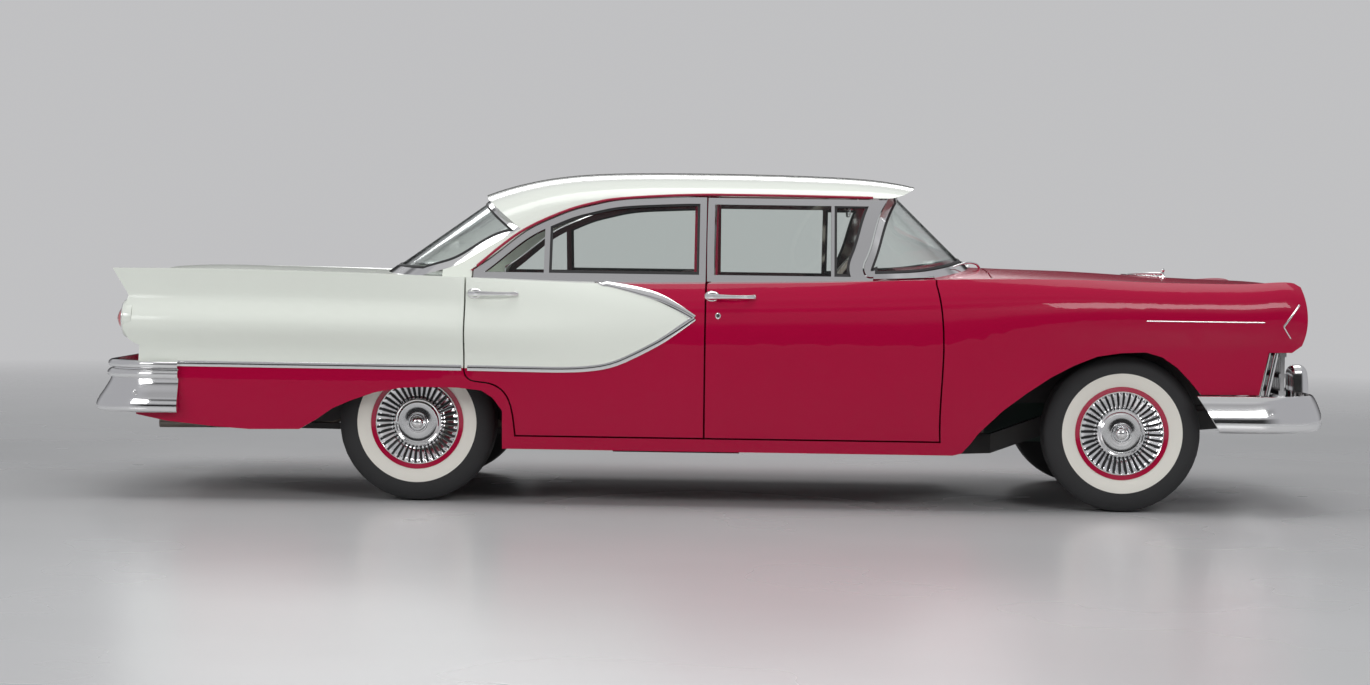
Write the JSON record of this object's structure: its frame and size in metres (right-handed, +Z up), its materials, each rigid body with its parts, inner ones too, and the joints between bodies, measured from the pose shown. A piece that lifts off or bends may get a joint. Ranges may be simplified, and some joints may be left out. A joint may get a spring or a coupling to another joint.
{
  "type": "1950s full-size four-door sedan",
  "caption": "Full-size 1950s four-door sedan with tail fins, wrap-round glass, whitewall tyres and bright bumpers; doors, hood, trunk and steering move.",
  "frame": {"origin": "on the floor under the centre of the car's overall length and width", "axes": "+X forward, +Y to the car's left, +Z up"},
  "size_m": [5.275, 1.959, 1.4314],
  "materials": {
    "body_red": "gloss",
    "body_white": "gloss",
    "chrome": "polished",
    "window_glass": "clear",
    "lamp_glass": "clear",
    "lamp_red": "gloss",
    "rubber": "matte",
    "wheel_steel": "gloss",
    "upholstery": "satin",
    "dash_paint": "satin",
    "column_plastic": "gloss",
    "floor_paint": "matte",
    "chassis_black": "satin",
    "engine_iron": "matte",
    "exhaust_steel": "satin"
  },
  "bodies": {
    "root": {"front_fenders": "body_red", "rear_quarters": "body_red", "rear_panels": "body_red", "front_panel": "body_red", "cowl": "body_red", "side_frames": "body_red", "roof": "body_white", "front_bumper": "chrome", "rear_bumper": "chrome", "grille": "chrome", "windshield_frame": "chrome", "rear_window_frame": "chrome", "body_mouldings": "chrome", "windshield": "window_glass", "rear_window": "window_glass", "headlamps": "lamp_glass", "tail_lamps": "lamp_red", "front_seat": "upholstery", "rear_seat": "upholstery", "dashboard": "dash_paint", "steering_column": "column_plastic", "floor_pan": "floor_paint", "aprons": "floor_paint", "frame": "chassis_black", "front_suspension": "chassis_black", "rear_axle": "chassis_black", "engine": "engine_iron", "exhaust": "exhaust_steel", "fuel_tank": "exhaust_steel"},
    "hood": {"hood": "body_red"},
    "trunk_lid": {"trunk_lid": "body_red"},
    "door_front_left": {"door_front_left": "body_red", "door_front_left_frame": "chrome", "door_front_left_glass": "window_glass"},
    "door_front_right": {"door_front_right": "body_red", "door_front_right_frame": "chrome", "door_front_right_glass": "window_glass"},
    "door_rear_left": {"door_rear_left": "body_red", "door_rear_left_frame": "chrome", "door_rear_left_glass": "window_glass"},
    "door_rear_right": {"door_rear_right": "body_red", "door_rear_right_frame": "chrome", "door_rear_right_glass": "window_glass"},
    "wheel_front_left": {"tyre_front_left": "rubber", "wheel_front_left": "wheel_steel"},
    "wheel_front_right": {"tyre_front_right": "rubber", "wheel_front_right": "wheel_steel"},
    "wheel_rear_left": {"tyre_rear_left": "rubber", "wheel_rear_left": "wheel_steel"},
    "wheel_rear_right": {"tyre_rear_right": "rubber", "wheel_rear_right": "wheel_steel"},
    "knuckle_left": {"knuckle_left": "chassis_black"},
    "knuckle_right": {"knuckle_right": "chassis_black"}
  },
  "joints": [
    {"name": "steer_left", "type": "hinge", "parent": "root", "child": "knuckle_left", "pos_m": [1.762, 0.669, 0.336], "axis": [0, 0, 1], "range_deg": [-30, 30]},
    {"name": "roll_front_left", "type": "hinge", "parent": "knuckle_left", "child": "wheel_front_left", "pos_m": [1.762, 0.7495, 0.336], "axis": [0, 1, 0], "continuous": true},
    {"name": "roll_rear_left", "type": "hinge", "parent": "root", "child": "wheel_rear_left", "pos_m": [-1.235, 0.7165, 0.336], "axis": [0, 1, 0], "continuous": true},
    {"name": "door_front_left_hinge", "type": "hinge", "parent": "root", "child": "door_front_left", "pos_m": [1, 0.98, 0.62], "axis": [0, 0, -1], "range_deg": [0, 65]},
    {"name": "door_rear_left_hinge", "type": "hinge", "parent": "root", "child": "door_rear_left", "pos_m": [-0.012, 0.98, 0.62], "axis": [0, 0, -1], "range_deg": [0, 65]},
    {"name": "steer_right", "type": "hinge", "parent": "root", "child": "knuckle_right", "pos_m": [1.762, -0.669, 0.336], "axis": [0, 0, 1], "range_deg": [-30, 30]},
    {"name": "roll_front_right", "type": "hinge", "parent": "knuckle_right", "child": "wheel_front_right", "pos_m": [1.762, -0.7495, 0.336], "axis": [0, 1, 0], "continuous": true},
    {"name": "roll_rear_right", "type": "hinge", "parent": "root", "child": "wheel_rear_right", "pos_m": [-1.235, -0.7165, 0.336], "axis": [0, 1, 0], "continuous": true},
    {"name": "door_front_right_hinge", "type": "hinge", "parent": "root", "child": "door_front_right", "pos_m": [1, -0.98, 0.62], "axis": [0, 0, 1], "range_deg": [0, 65]},
    {"name": "door_rear_right_hinge", "type": "hinge", "parent": "root", "child": "door_rear_right", "pos_m": [-0.012, -0.98, 0.62], "axis": [0, 0, 1], "range_deg": [0, 65]},
    {"name": "hood_hinge", "type": "hinge", "parent": "root", "child": "hood", "pos_m": [2.505, 0, 0.962], "axis": [0, 1, 0], "range_deg": [0, 50]},
    {"name": "trunk_hinge", "type": "hinge", "parent": "root", "child": "trunk_lid", "pos_m": [-1.466, 0, 0.99], "axis": [0, 1, 0], "range_deg": [0, 65]}
  ],
  "couplings": [
    {"joint": "steer_left", "follows": "steer_right", "ratio": 1}
  ]
}
